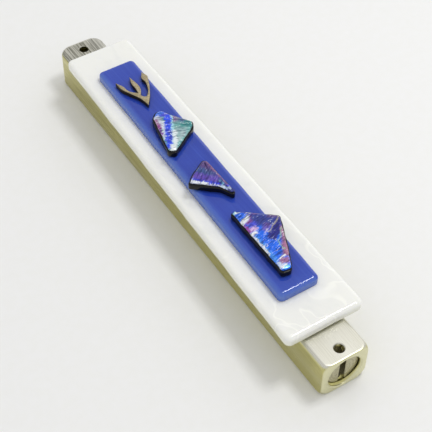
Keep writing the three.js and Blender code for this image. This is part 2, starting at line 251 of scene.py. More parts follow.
def skin(name: str, rings: np.ndarray, poles: tuple | None = None,
         wrap_rows: bool = False) -> bpy.types.Object:
    """Closes a stack of rings into a solid's surface.

    Args:
        name: the piece's name.
        rings: points of shape (rings, points in a ring, 3).
        poles: the two points that close the first and last rings. Without them each of those rings
            is closed by one flat face, or not at all if the rows wrap.
        wrap_rows: whether the last ring joins the first, as on a tube with a wall or a torus.

    Returns:
        The new object.
    """
    rows, columns = rings.shape[:2]
    verts = rings.reshape(-1, 3)
    low = np.arange(rows if wrap_rows else rows - 1)[:, None]
    high = (low + 1) % rows
    left = np.arange(columns)
    right = (left + 1) % columns
    quads = np.stack([low * columns + left, low * columns + right, high * columns + right,
                      high * columns + left], -1)
    faces = quads.reshape(-1, 4).tolist()
    last = (rows - 1) * columns
    if poles is not None:
        verts = np.vstack([verts, *poles])
        fans = [[right, left, left * 0 + rows * columns],
                [last + left, last + right, left * 0 + rows * columns + 1]]
        faces += np.array(fans).transpose(2, 0, 1).reshape(-1, 3).tolist()
    elif not wrap_rows:
        faces += [left[::-1].tolist(), (last + left).tolist()]
    return put_in_scene(name, verts, faces)


def about_y(radius: np.ndarray, place: np.ndarray, angle: np.ndarray, axis: float) -> np.ndarray:
    """Points about an axis along Y: x is the radius times the angle's cosine, and z is the axis's
    height plus the radius times its sine.

    Args:
        radius: the radii.
        place: the places along Y.
        angle: the angles, from +X towards +Z.
        axis: the axis's height.

    Returns:
        The points of the grid that the first three make.
    """
    parts = np.broadcast_arrays(radius * np.cos(angle), place, axis + radius * np.sin(angle))
    return np.stack(parts, -1)


def cut(piece: bpy.types.Object, cutters: list) -> None:
    """Cuts solids out of a piece, and removes them.

    Args:
        piece: what is cut.
        cutters: the solids taken away.
    """
    for cutter in cutters:
        step = piece.modifiers.new("cut", "BOOLEAN")
        step.operation, step.solver, step.object = "DIFFERENCE", "EXACT", cutter
    settled = piece.evaluated_get(bpy.context.evaluated_depsgraph_get())
    mesh = bpy.data.meshes.new_from_object(settled)
    mesh.name = piece.name
    piece.modifiers.clear()
    piece.data = mesh
    smooth(mesh)
    for cutter in cutters:
        bpy.data.objects.remove(cutter)


def plan_outline(node: str) -> np.ndarray:
    """The outline of an upright CAD solid, seen from the front, at its widest level.

    The level is the lowest place of the points furthest along +X. A side at that level is on the
    outline unless it lies between two flat triangles, and the walk goes from side to side.

    Args:
        node: the CAD node's name.

    Returns:
        The outline's corners as (x, y) rows, anticlockwise.
    """
    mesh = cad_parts[node].data
    same, near = MM * 1e-3, MM * 0.01
    places = np.array([v.co for v in mesh.vertices], float)
    cells, number = np.unique(np.round(places / same).astype(np.int64), axis=0, return_inverse=True)
    points = cells * same
    triangles = number.ravel()[np.array([p.vertices[:] for p in mesh.polygons])]
    widest = np.abs(points[:, 0] - points[:, 0].max()) < near
    at_level = np.abs(points[:, 2] - points[widest, 2].min()) < near
    sides = np.sort(np.vstack([triangles[:, [0, 1]], triangles[:, [1, 2]], triangles[:, [2, 0]]]), 1)
    flat = np.tile(at_level[triangles].all(1), 3)
    kept = at_level[sides].all(1)
    pairs, pair = np.unique(sides[kept], axis=0, return_inverse=True)
    flat_uses = np.bincount(pair.ravel(), weights=flat[kept], minlength=len(pairs))
    neighbours: dict[int, list[int]] = {}
    for a, b in pairs[flat_uses < 2].tolist():
        neighbours.setdefault(a, []).append(b)
        neighbours.setdefault(b, []).append(a)
    first = next(iter(neighbours))
    walk = [first, neighbours[first][0]]
    while walk[-1] != first:
        walk.append(next(n for n in neighbours[walk[-1]] if n != walk[-2]))
    loop = points[walk[:-1], :2]
    after = np.roll(loop, -1, 0)
    area = (loop[:, 0] * after[:, 1] - after[:, 0] * loop[:, 1]).sum()
    return loop if area > 0 else loop[::-1]


def softened(loop: np.ndarray, step: float, rounds: int = 2, corner_degrees: float = 180.0) -> np.ndarray:
    """An outline with long sides divided and its facets rounded off.

    Each round of corner cutting puts two points on every side, a quarter and three quarters along.
    A corner sharper than corner_degrees is a double point, which keeps it.

    Args:
        loop: (x, y) rows.
        step: the longest side that stays undivided.
        rounds: how many times the corners are cut.
        corner_degrees: the turn above which a corner stays sharp.

    Returns:
        The finer outline.
    """
    turn = np.degrees(np.abs(turns_of(loop, 1)))
    loop = np.repeat(loop, np.where(turn > corner_degrees, 2, 1), 0)
    onward = np.roll(loop, -1, 0) - loop
    parts = np.maximum(1, np.ceil(np.hypot(*onward.T) / step)).astype(int)
    first = np.repeat(np.cumsum(parts) - parts, parts)
    share = (np.arange(parts.sum()) - first) / np.repeat(parts, parts)
    loop = np.repeat(loop, parts, 0) + share[:, None] * np.repeat(onward, parts, 0)
    for _ in range(rounds):
        after = np.roll(loop, -1, 0)
        loop = np.stack([0.75 * loop + 0.25 * after, 0.25 * loop + 0.75 * after], 1).reshape(-1, 2)
    gap = np.hypot(*(np.roll(loop, -1, 0) - loop).T)
    return loop[gap > LEAST_SIDE]


def turns_of(loop: np.ndarray, reach: int) -> np.ndarray:
    """The turn at each point of an outline, between the points a few before and after it.

    Args:
        loop: (x, y) rows.
        reach: how many points away those two are.

    Returns:
        The turns in radians, positive where an anticlockwise outline is convex.
    """
    ahead, behind = np.roll(loop, -reach, 0) - loop, loop - np.roll(loop, reach, 0)
    return np.angle((ahead @ [1, 1j]) / (behind @ [1, 1j]))


def outward(loop: np.ndarray) -> np.ndarray:
    """The outward unit direction at each point of an anticlockwise outline.

    Args:
        loop: (x, y) rows.

    Returns:
        One (x, y) row for each point.
    """
    along = np.roll(loop, -1, 0) - np.roll(loop, 1, 0)
    along /= np.maximum(np.hypot(*along.T), 1e-12)[:, None]
    return np.stack([along[:, 1], -along[:, 0]], 1)


def quarter(count: int) -> np.ndarray:
    """Spaces angles evenly from 0 to a right angle.

    Args:
        count: the number of steps.

    Returns:
        The angles, one more than the steps.
    """
    return np.linspace(0, math.pi / 2, count + 1)


# ---------------------------------------------------------------- finishes


@dataclass(frozen=True)
class SatinAluminium(Finish):
    """Drawn aluminium bar, linished bare on its front.

    The eye gets fine lines along the bar, brightest on the bare front. The olive-gold cast on its
    sides and ends is a painted warm reflection.
    """

    bare: str = "#dddbce"
    bare_dark: str = "#716f60"
    # film and the darker tone after it paint a warm olive-gold reflection on the sides and ends
    film: str = "#cbc584"
    side_reflection_dark: str = "#b0aa6a"
    turned: str = "#dedbb6"
    bloom: str = "#ffffff"
    line_width: float = 0.4 * MM
    line_length: float = 16.0 * MM
    front: float = 0.0
    lower_end: float = 0.0
    upper_end: float = 1.0
    front_band: Pair = (-0.9 * MM, -0.25 * MM)
    turned_band: Pair = (0.75 * MM, 0.3 * MM)
    sawn_band: Pair = (-0.1 * MM, -0.7 * MM)
    fading_lines: Pair = (-50 * MM, 60 * MM)
    bloom_size: Triple = (9 * MM, 60 * MM, 9 * MM)
    roughness: Pair = (0.41, 0.27)
    line_depth: float = 0.02 * MM

    def paint(self, on: Surface) -> None:
        """Lays lines along the bar, stronger up it, and none on its turned and its sawn end.

        Args:
            on: the material as it is filled in.
        """
        width, length = self.line_width, self.line_length
        lines = on.grain((width, length, width), 3.0)
        fine = on.grain((width / 3, length / 4, width / 3))
        both = on.add(Node.TIMES_PLUS, fine, 0.45, lines)
        _, y, z = on.add(Node.SPLIT, on.point).node.outputs
        bare_front = on.add(Node.RANGE, z, *[self.front + band for band in self.front_band])
        turned = on.add(Node.RANGE, y, *[self.lower_end + band for band in self.turned_band])
        sawn = on.add(Node.RANGE, y, *[self.upper_end + band for band in self.sawn_band], 0.15, 1.0)
        upper = on.add(Node.RANGE, y, *self.fading_lines, 0.28, 1.0)
        share = on.add(Node.TIMES, on.add(Node.RANGE, both, 0.92, 0.52), upper)
        share = on.add(Node.TIMES, share, sawn)
        bare = on.add(Node.MIX, share, self.bare, self.bare_dark)
        # painted warm reflection: below the bare front, the sides and ends get the olive-gold tint
        film = on.add(Node.MIX, share, self.film, self.side_reflection_dark)
        cloudy = on.add(Node.RANGE, on.grain(self.bloom_size), 0.4, 0.7, 0.0, 0.12)
        metal = on.add(Node.MIX, cloudy, on.add(Node.MIX, bare_front, film, bare), self.bloom)
        height = on.add(Node.TIMES, both, on.add(Node.RANGE, turned, 0.0, 1.0, 1.0, 0.1))
        height = on.add(Node.TIMES, height, sawn)
        on.shade({
            "Base Color": on.add(Node.MIX, turned, metal, self.turned),
            "Roughness": on.add(Node.RANGE, both, 0.45, 0.95, *self.roughness),
            "Metallic": 1.0,
            "Normal": on.add(Node.BUMP, 0.25, self.line_depth, None, height),
        })


@dataclass(frozen=True)
class TurnedAluminium(Finish):
    """Aluminium turned on a lathe: the eye gets a grey-brown satin with faint rings on its faces."""

    light: str = "#d0cbae"
    dark: str = "#a49f82"
    axis_height: float = 0.0
    ring_width: float = 0.35 * MM
    speck: float = 0.5 * MM
    roughness: float = 0.38
    ring_depth: float = 0.02 * MM

    def paint(self, on: Surface) -> None:
        """Lays rings about the plug's axis, broken by specks.

        Args:
            on: the material as it is filled in.
        """
        centred = on.add(Node.CELL, on.point, (0, 0, self.axis_height))
        x, _, z = on.add(Node.SPLIT, centred).node.outputs
        radius = on.add(Node.LENGTH, on.add(Node.JOIN, x, None, z))
        rings = on.grain(self.ring_width, 3.0, place=on.add(Node.JOIN, radius))
        both = on.add(Node.TIMES_PLUS, on.grain(self.speck, 3.0), 0.5, rings)
        on.shade({
            "Base Color": on.add(Node.MIX, on.add(Node.RANGE, both, 0.5, 1.0), self.dark, self.light),
            "Metallic": 1.0,
            "Roughness": self.roughness,
            "Normal": on.add(Node.BUMP, 0.4, self.ring_depth, None, both),
        })


@dataclass(frozen=True)
class OpalGlass(Finish):
    """Fused white opal sheet glass, fire-polished.

    The eye gets a milky gloss with soft light inside it, and thin wisps towards its lower end.
    """

    milk: str = "#f1f1ec"
    cloud: str = "#e9eae6"
    wisp: str = "#fbfbf4"
    edge: str = "#e6e7d6"
    swirl: float = 5.0 * MM
    drift: float = 9.0 * MM
    wisps_from: Pair = (-20 * MM, -50 * MM)
    low: float = 0.0
    high: float = 1.0
    depth_of_light: float = 2.2 * MM
    roll: Triple = (7 * MM, 16 * MM, 7 * MM)
    roll_depth: float = 0.3 * MM

    def paint(self, on: Surface) -> None:
        """Lays clouds, lines where slow noise crosses its middle value, and a yellower lower edge.

        Args:
            on: the material as it is filled in.
        """
        swirl = self.swirl
        drift = on.add(Node.NOISE, on.point, 1 / self.drift, 2.0, out=1)
        pushed = on.add(Node.VECTOR_TIMES_PLUS, drift, (self.drift,) * 3, on.point)
        clouds = on.grain((swirl * 0.7, swirl * 1.8, swirl), 3.0, 20.0, pushed)
        slow = on.grain((swirl * 1.5, swirl * 2.6, swirl * 2), 0.6, 25.0, pushed)
        off_middle = on.add(Node.SIZE, on.add(Node.MINUS, slow, 0.5))
        _, y, z = on.add(Node.SPLIT, on.point).node.outputs
        lines = on.add(Node.TIMES, on.add(Node.RANGE, off_middle, 0.035, 0.004, 0.0, 0.8),
                       on.add(Node.RANGE, y, *self.wisps_from, 0.1, 1.0))
        body = on.add(Node.MIX, on.add(Node.RANGE, clouds, 0.48, 0.78, 0.0, 0.7), self.milk, self.cloud)
        body = on.add(Node.MIX, lines, body, self.wisp)
        lower = on.add(Node.RANGE, z, self.low, self.low + 0.8 * (self.high - self.low), 0.75, 0.0)
        on.shade({
            "Base Color": on.add(Node.MIX, lower, body, self.edge),
            "Roughness": 0.06,
            "IOR": GLASS_IOR,
            "Subsurface Weight": 0.35,
            "Subsurface Radius": (1.0, 1.0, 0.9),
            "Subsurface Scale": self.depth_of_light,
            "Normal": on.add(Node.BUMP, 0.12, self.roll_depth, None, on.grain(self.roll, 1.0)),
        })


@dataclass(frozen=True)
class BlueGlass(Finish):
    """Blue opal sheet glass, drawn in long streaks.

    The eye gets an even periwinkle gloss, paler where light comes out of its edges.
    """

    body: str = "#2a45ad"
    streak: str = "#3955bd"
    pale: str = "#5878c8"
    deep: str = "#243a9b"
    streak_width: float = 1.1 * MM
    streak_length: float = 45.0 * MM
    cloud: Triple = (9 * MM, 30 * MM, 9 * MM)
    depth_of_light: float = 1.6 * MM
    roll: Triple = (3 * MM, 30 * MM, 3 * MM)
    roll_depth: float = 0.2 * MM

    def paint(self, on: Surface) -> None:
        """Lays streaks and deeper clouds, and the pale rim that the plate's own value gives.

        Args:
            on: the material as it is filled in.
        """
        streaks = on.grain((self.streak_width, self.streak_length, self.streak_width), 2.0, 1.0)
        clouds = on.grain(self.cloud)
        base = on.add(Node.MIX, on.add(Node.RANGE, streaks, 0.42, 0.75, 0.0, 0.55), self.body, self.streak)
        base = on.add(Node.MIX, on.add(Node.RANGE, clouds, 0.4, 0.75, 0.0, 0.5), base, self.deep)
        rim = on.add(Node.LIT_EDGE).node.outputs["Fac"]
        on.shade({
            "Base Color": on.add(Node.MIX, rim, base, self.pale),
            "Roughness": 0.07,
            "IOR": GLASS_IOR,
            "Subsurface Weight": 0.25,
            "Subsurface Radius": (0.4, 0.6, 1.0),
            "Subsurface Scale": self.depth_of_light,
            "Normal": on.add(Node.BUMP, 0.2, self.roll_depth, None, on.grain(self.roll, 1.0)),
        })


@dataclass(frozen=True)
class Mottled(Finish):
    """Two tones in soft spots, which is all that the plainer finishes need.

    Attributes:
        light: the tone where the spots are low.
        dark: the tone where they are high.
        spot: the spots' size.
        detail: how many finer layers the spots have.
        band: the spot values between which one tone becomes the other.
        most: how much of the second tone shows at most.
        sockets: the shader's other sockets, by name.
        bump: the bump's strength and depth, if the spots are raised.
    """

    light: str = "#ffffff"
    dark: str = "#ffffff"
    spot: float = MM
    detail: float = 2.0
    band: Pair = (0.35, 0.7)
    most: float = 1.0
    sockets: tuple[tuple[str, float], ...] = ()
    bump: Pair | None = None

    def paint(self, on: Surface) -> None:
        """Lays the spots in colour and, where they are raised, in height.

        Args:
            on: the material as it is filled in.
        """
        spots = on.grain(self.spot, self.detail)
        share = on.add(Node.RANGE, spots, *self.band, 0.0, self.most)
        on.shade({"Base Color": on.add(Node.MIX, share, self.light, self.dark), **dict(self.sockets)})
        if self.bump:
            on.shade({"Normal": on.add(Node.BUMP, *self.bump, None, spots)})


# Black sheet glass, fire-polished: a deep gloss with soft ripples.
BLACK_GLASS = Mottled("black_sheet_glass", "#050506", "#0b0a0d", 1.6 * MM, 2.0, (0.4, 0.8),
                      sockets=(("Roughness", 0.07), ("Specular IOR Level", 0.3)), bump=(0.15, 0.1 * MM))
# Moulded nitrile rubber: matt near-black with a trace of talc.
SEAL_RUBBER = Mottled("nitrile_rubber", "#171717", "#3a3938", 0.5 * MM, 3.0, (0.5, 0.8), 0.4,
                      sockets=(("Roughness", 0.62),))
# Cured clear-white silicone adhesive: milky, soft-edged and slightly glossy.
BOND_ADHESIVE = Mottled("silicone_adhesive", "#e9e8e0", "#d4d3c8", 0.8 * MM, 2.0, (0.5, 0.8),
                        sockets=(("Roughness", 0.35), ("Subsurface Weight", 0.3),
                                 ("Subsurface Scale", 1.0 * MM)))
# Matt studio paint on the floor, with the faintest roller texture.
PALE_PAINT = Mottled("pale_floor_paint", "#f0f0ee", "#f1f1f0", 3 * MM, 2.0, (0.3, 0.7),
                     sockets=(("Roughness", 0.8),))


@dataclass(frozen=True)
class Patch:
    """One soft-edged oblong of colour on a dichroic coating, in millimetres from the chip's foot.

    Attributes:
        code: its hex colour.
        x: its middle across the chip.
        y: its middle up the chip.
        half_width: half its size across its own direction.
        half_length: half its size along its own direction.
        turn: the angle from +Y to its own direction, anticlockwise, in degrees.
        soft: the width of its edge.
        share: how strongly it covers what is under it.
    """

    code: str
    x: float
    y: float
    half_width: float
    half_length: float
    turn: float = 0.0
    soft: float = 0.45
    share: float = 1.0

    def lay(self, on: Surface, film: bpy.types.NodeSocket | str, foot: Pair,
            torn: bpy.types.NodeSocket) -> bpy.types.NodeSocket:
        """Lays the patch over what is there.

        Args:
            on: the material as it is filled in.
            film: the colour underneath.
            foot: the chip's foot.
            torn: the place on the piece, pushed about so that edges are ragged.

        Returns:
            The colour with the patch on it.
        """
        middle = (foot[0] + self.x * MM, foot[1] + self.y * MM, 0)
        size = (self.half_width * MM, self.half_length * MM, 1.0)
        local = on.add(Node.CELL, torn, middle, (0, 0, math.radians(self.turn)), size)
        x, y, _ = on.add(Node.SPLIT, on.add(Node.VECTOR_SIZE, local)).node.outputs
        side, end = self.soft / self.half_width, self.soft / self.half_length
        across = on.add(Node.RANGE, x, 1 + side, 1 - side, 0.0, self.share)
        along = on.add(Node.RANGE, y, 1 + end, 1 - end)
        return on.add(Node.MIX, on.add(Node.TIMES, across, along), film, self.code)


@dataclass(frozen=True)
class DichroicGlass(Finish):
    """A thin metal-oxide film on crinkled glass: mirror-bright bands of changing colour, broken by
    fine ridges, under a clear gloss. The shade between the ridges and the white glints on them
    are painted.
    """

    ground: str = "#2f7fe8"
    foot: Pair = (0.0, 0.0)
    patches: tuple[Patch, ...] = ()
    ridge_turn: float = 0.0
    flashes: float = 1.0
    ridge: Triple = (0.46 * MM, 2.4 * MM, 0.46 * MM)
    tooth: Triple = (0.35 * MM, 1.8 * MM, 0.35 * MM)
    ragged: float = 0.55 * MM
    drift: float = 1.6 * MM
    push: float = 1.2 * MM
    speck: float = 0.28 * MM
    ridge_depth: float = 0.12 * MM
    # painted shade between the ridges, and painted white glints on them
    trough_shade: str = "#07104f"
    painted_glint: str = "#f6fcff"

    def paint(self, on: Surface) -> None:
        """Lays the patches with ragged edges, painted shade between the ridges, and painted glints on them.

        Args:
            on: the material as it is filled in.
        """
        lean = math.radians(self.ridge_turn)
        long_way = (-math.sin(lean) * self.ragged, math.cos(lean) * self.ragged, 0.0)
        teeth = on.add(Node.TIMES_PLUS, on.grain(self.tooth, 2.0, self.ridge_turn), 4.0, -2.0)
        torn = on.add(Node.VECTOR_TIMES_PLUS, on.add(Node.JOIN, teeth, teeth, teeth), long_way, on.point)
        drift = on.add(Node.NOISE, on.point, 1 / self.drift, 2.0, out=1)
        torn = on.add(Node.VECTOR_TIMES_PLUS, on.add(Node.VECTOR_MINUS, drift, (0.5,) * 3),
                      (self.push,) * 3, torn)
        film = self.ground
        for patch in self.patches:
            film = patch.lay(on, film, self.foot, torn)
        ridges = on.grain(self.ridge, 3.0, self.ridge_turn)
        # painted shade: the low parts of the ridges darken towards a deep navy
        shade = on.add(Node.MIX, on.add(Node.RANGE, ridges, 0.36, 0.5, 0.62, 0.0), film, self.trough_shade)
        # painted glints: white specks on the ridge tops
        specks = on.add(Node.RANGE, on.grain(self.speck), 0.47, 0.6, 0.0, self.flashes)
        flash = on.add(Node.TIMES, on.add(Node.RANGE, ridges, 0.55, 0.65), specks)
        on.shade({
            "Base Color": on.add(Node.MIX, flash, shade, self.painted_glint),
            "Metallic": 0.7,
            "Roughness": 0.28,
            "Coat Weight": 0.6,
            "Coat Roughness": 0.05,
            "Normal": on.add(Node.BUMP, 0.55, self.ridge_depth, None, ridges),
        })


@dataclass(frozen=True)
class AntiqueBrass(Finish):
    """Cut brass: tan on its face, dark brown down its sides."""

    face_tan: str = "#c3b696"
    face_tan_dark: str = "#a39575"
    side_brown: str = "#3d3522"
    face_height: float = 0.0
    face_band: Pair = (-0.15 * MM, -0.02 * MM)
    cast: float = 0.6 * MM
    cast_depth: float = 0.05 * MM

    def paint(self, on: Surface) -> None:
        """Lays a mottled face over the darker sides.

        Args:
            on: the material as it is filled in.
        """
        cast = on.grain(self.cast, 3.0)
        _, _, z = on.add(Node.SPLIT, on.point).node.outputs
        top = on.add(Node.RANGE, z, *[self.face_height + band for band in self.face_band])
        face = on.add(Node.MIX, on.add(Node.RANGE, cast, 0.35, 0.7), self.face_tan_dark, self.face_tan)
        on.shade({
            # darker down its sides than on its face, by height
            "Base Color": on.add(Node.MIX, top, self.side_brown, face),
            "Metallic": 0.85,
            "Roughness": 0.42,
            "Normal": on.add(Node.BUMP, 0.4, self.cast_depth, None, cast),
        })


@dataclass(frozen=True)
class Parchment(Finish):
    """Scraped calfskin: cream, slightly mottled, with fine follicle marks."""

    cream: str = "#e9dcb9"
    tan: str = "#d9c697"
    follicle: str = "#b99f6d"
    mottle: Triple = (5 * MM, 9 * MM, 5 * MM)
    mark: float = 0.35 * MM
    mark_depth: float = 0.04 * MM

    def paint(self, on: Surface) -> None:
        """Lays marks over the mottling, in colour and in height.

        Args:
            on: the material as it is filled in.
        """
        mottle = on.add(Node.RANGE, on.grain(self.mottle, 3.0), 0.35, 0.7)
        marks = on.grain(self.mark)
        scraped = on.add(Node.MIX, mottle, self.cream, self.tan)
        on.shade({
            "Base Color": on.add(Node.MIX, on.add(Node.RANGE, marks, 0.62, 0.75, 0.0, 0.35), scraped,
                                 self.follicle),
            "Roughness": 0.7,
            "Normal": on.add(Node.BUMP, 0.5, self.mark_depth, None, marks),
        })


@dataclass(frozen=True)
class ClearFilm(Finish):
    """Clear plastic tube with a faint haze of handling marks."""

    tint: str = "#f4f7f6"
    haze: Triple = (2 * MM, 12 * MM, 2 * MM)
    roughness: Pair = (0.04, 0.16)

    def paint(self, on: Surface) -> None:
        """Lays the haze in the roughness.

        Args:
            on: the material as it is filled in.
        """
        rough = on.add(Node.RANGE, on.grain(self.haze, 3.0), 0.4, 0.8, *self.roughness)
        on.shade({"Roughness": rough, "Base Color": self.tint, "Transmission Weight": 1.0, "IOR": 1.45})


# ---------------------------------------------------------------- sub-assemblies


class Body(Enum):
    """The CAD bodies that pieces ride on."""

    CASE = "case"
    SEAL = "seal"
    PLUG = "plug"
    SCROLL = "scroll"


def dress(piece: bpy.types.Object, finish: Finish, slot: str, body: Body, *nodes: str) -> None:
    """Gives a piece its finish and its body, and hides the CAD nodes it stands for.

    Args:
        piece: the finished piece.
        finish: its finish.
        slot: a material slot's name; not used.
        body: the CAD body it moves with.
        nodes: the CAD nodes it stands for.
    """
    piece.data.materials.clear()
    piece.data.materials.append(finish.material())
    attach(piece, body.value)
    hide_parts(*nodes)
    LOG.info("%s: %d faces, %s, on %s", piece.name, len(piece.data.polygons), finish.name, body.value)


@dataclass
class Thread:
    """The right-hand screw thread that the case and the plug share."""

    pitch: float = 1.5 * MM
    depth: float = 0.5 * MM
    start: float = 0.0
    rows_per_turn: int = 12

    def radius(self, root: float, angle: np.ndarray, place: np.ndarray) -> np.ndarray:
        """The thread's radius: the root plus a raised cosine that goes round once for each pitch.

        Args:
            root: the smallest radius.
            angle: the angle round the bore, from +X towards +Z.
            place: the height along Y.

        Returns:
            The radius at each angle and place.
        """
        phase = TURN * (-(place - self.start) / self.pitch - angle / TURN)
        return root + self.depth * (0.5 + 0.5 * np.cos(phase))


@dataclass
class CaseBar:
    """The bar: a rounded section along Y, a turned lower end, a threaded bore and two screw holes."""

    front_edge: float = 1.2 * MM
    back_edge: float = 1.0 * MM
    top_corner: float = 3.0 * MM
    plug_corner: float = 0.6 * MM
    end_roll: float = 0.5 * MM
    turned_ease: float = 0.2 * MM
    turned_rise: float = 2.0 * MM
    turned_length: float = 3.2 * MM
    turned_blend: float = 0.14 * MM
    clear_of_corners: float = 30.0 * MM
    bore_wall: float = 1.3 * MM
    mouth_chamfer: float = 0.3 * MM
    mouth_ease: float = 0.15 * MM
    bore_top: float = 64.7 * MM
    thread_top: float = -65.8 * MM
    thread_fade: float = 0.4
    hole_radius: float = 1.5 * MM
    hole_chamfer: float = 0.22 * MM
    hole_inset: float = 3.8 * MM
    arc_points: int = 9
    side_points: int = 22
    roll_steps: int = 6
    turned_rows: int = 18
    turned_spacing: float = 1.3
    side_rows: int = 40
    corner_steps: int = 12
    corner_share: float = 0.96
    bore_rows: int = 12
    hole_columns: int = 48
    low: Vector = field(default_factory=lambda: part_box("case_body")[0])
    high: Vector = field(default_factory=lambda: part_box("case_body")[1])

    def __post_init__(self) -> None:
        """Works out the places that follow from the CAD node's box."""
        self.half_width = self.high.x
        self.depth = self.high.z
        self.axis = self.depth / 2
        self.bore_radius = min(self.half_width, self.axis) - self.bore_wall
        self.thread = Thread(start=self.low.y)

    def section(self) -> tuple[np.ndarray, ...]:
        """The section as x = share * half width + offset, so that it can narrow at the corners.

        Four arcs, one at each corner, joined by evenly divided straight sides.

        Returns:
            The share, the offset and the height of each point, anticlockwise from the lower right.
        """
        front, back = self.front_edge, self.back_edge
        corners = ((1, back, back, -90), (1, self.depth - front, front, 0),
                   (-1, self.depth - front, front, 90), (-1, back, back, 180))
        arcs = []
        for side, middle, radius, first in corners:
            angle = math.radians(first) + quarter(self.arc_points)
            arcs.append(np.stack([np.full(angle.size, float(side)), radius * (np.cos(angle) - side),
                                  middle + radius * np.sin(angle)]))
        share = np.linspace(0, 1, self.side_points + 2)[1:-1]
        filled = []
        for arc, after in zip(arcs, arcs[1:] + arcs[:1]):
            filled += [arc, arc[:, -1:] + share * (after[:, :1] - arc[:, -1:])]
        return tuple(np.concatenate(filled, 1))

    def turned_radius(self, place: np.ndarray) -> np.ndarray:
        """How far out the turned lower end reaches: a quarter ellipse that opens away from the end.

        Args:
            place: heights along Y.

        Returns:
            The radius about the bore's axis, past the section's corners above the turned length.
        """
        rise = np.clip((place - self.low.y) / self.turned_length, 0, 1)
        reach = self.turned_rise * np.sqrt(1 - (1 - rise) ** 2) + self.clear_of_corners * (rise >= 1)
        return max(self.half_width, self.axis) + self.turned_ease + reach

    def stations(self) -> tuple[np.ndarray, np.ndarray, np.ndarray]:
        """The rows of the outer skin from the lower end to the upper one.

        The rows lie closest together where the ends and the upper corners bend. A corner of radius r
        takes r - sqrt(r * r - past * past) off the half width, and an edge roll does the same.

        Returns:
            The height, half width and edge roll of each row.
        """
        low, high, roll = self.low.y, self.high.y, quarter(self.roll_steps)
        flat_end = high - self.top_corner
        first = low + self.end_roll * (1 - np.cos(roll))
        share = np.linspace(0, 1, self.turned_rows)[1:] ** self.turned_spacing
        near = low + self.end_roll + (self.turned_length - self.end_roll) * share
        middle = np.linspace(near[-1], flat_end, self.side_rows)[1:-1]
        bend = flat_end + self.top_corner * np.sin(quarter(self.corner_steps)[:-1] * self.corner_share)
        last = high - self.end_roll * (1 - np.sin(roll))
        last = last[last > bend[-1]]
        place = np.concatenate([first, near, middle, bend, last])

        def bent_in(past: np.ndarray, radius: float) -> np.ndarray:
            """Tells how far a rounded corner lies in from the straight side.

            Args:
                past: distances past the start of the corner.
                radius: the radius of the corner.

            Returns:
                A distance in for each distance past.
            """
            return radius - np.sqrt(np.maximum(radius ** 2 - np.clip(past, 0, radius) ** 2, 0))

        narrow = bent_in(place - flat_end, self.top_corner)
        narrow += bent_in(low + self.plug_corner - place, self.plug_corner)
        inset = np.zeros(place.size)
        inset[: first.size] = self.end_roll * (1 - np.sin(roll))
        inset[place.size - last.size :] = bent_in(last - high + self.end_roll, self.end_roll)
        return place, self.half_width - narrow, inset

    def outer_rings(self) -> np.ndarray:
        """The outer skin: at each height the section, held inside the turned end by a soft minimum
        of the two radii, and drawn in by the edge roll.

        Returns:
            Rings of points from the lower end to the upper one.
        """
        share, offset, height = self.section()
        place, half, inset = (row[:, None] for row in self.stations())
        across = share * half + offset
        up = height - self.axis
        radius = np.hypot(across, up)
        soft = self.turned_blend
        held = -soft * np.logaddexp(-radius / soft, -self.turned_radius(place) / soft)
        scale = (np.minimum(held, radius) - inset) / radius
        return np.stack(np.broadcast_arrays(across * scale, place, up * scale + self.axis), -1)

    def bore_rings(self, angle: np.ndarray) -> np.ndarray:
        """The bore from its blind top out to its chamfered mouth, with the thread near the mouth.

        Args:
            angle: the angle of each column round the bore.

        Returns:
            Rings of points from the blind end to the mouth.
        """
        thread = self.thread
        rows = round((self.thread_top - self.low.y) / thread.pitch * thread.rows_per_turn)
        threaded = np.linspace(self.thread_top, self.low.y + self.mouth_chamfer, rows)
        plain = np.linspace(self.bore_top, self.thread_top, self.bore_rows)[:-1]
        fade = np.clip((self.thread_top - threaded) / (self.thread_fade * thread.pitch), 0, 1)[:, None]
        raised = thread.radius(self.bore_radius, angle, threaded[:, None]) - self.bore_radius
        lip = self.bore_radius + thread.depth + self.mouth_ease
        radius = np.concatenate([np.full((plain.size, angle.size), self.bore_radius),
                                 self.bore_radius + fade * raised, np.full((1, angle.size), lip)])
        place = np.concatenate([plain, threaded, [self.low.y]])[:, None]
        return about_y(radius, place, angle, self.axis)

    def hole_cutter(self, place: float) -> bpy.types.Object:
        """The cutter for one screw hole: a profile turned about Z, wider at both faces.

        Args:
            place: the hole's height along Y.

        Returns:
            The cutter.
        """
        wide, past = self.hole_radius + self.hole_chamfer, CUTTER_PAST
        half = np.array([[wide + past, -past], [wide, 0], [self.hole_radius, self.hole_chamfer]])
        profile = np.vstack([half, [0, self.depth] + half[::-1] * [1, -1]])
        angle = np.linspace(0, TURN, self.hole_columns, endpoint=False)
        radius, height = profile[:, :1], profile[:, 1:]
        parts = np.broadcast_arrays(radius * np.cos(angle), place + radius * np.sin(angle), height)
        poles = [[0, place, -past], [0, place, self.depth + past]]
        return skin("hole_cutter", np.stack(parts, -1), poles)

    def build(self) -> None:
        """Makes the bar as one closed piece: the bore, its face, the outer skin and the upper end."""
        outer = self.outer_rings()
        rim = outer[0]
        bore = self.bore_rings(np.arctan2(rim[:, 2] - self.axis, rim[:, 0]))
        top_middle = np.array([0, self.high.y, self.axis])
        face = bore[-1] + np.linspace(0, 1, 4)[1:-1, None, None] * (rim - bore[-1])
        cap = outer[-1] + np.linspace(0, 1, 5)[1:-1, None, None] * (top_middle - outer[-1])
        poles = ([0, self.bore_top, self.axis], top_middle)
        bar = skin("bar", np.concatenate([bore, face, outer, cap]), poles)
        cut(bar, [self.hole_cutter(y) for y in (self.low.y + self.hole_inset, self.high.y - self.hole_inset)])
        finish = SatinAluminium("satin_aluminium_bar", front=self.high.z, lower_end=self.low.y,
                                upper_end=self.high.y)
        dress(bar, finish, "case_aluminium", Body.CASE, "case_body")


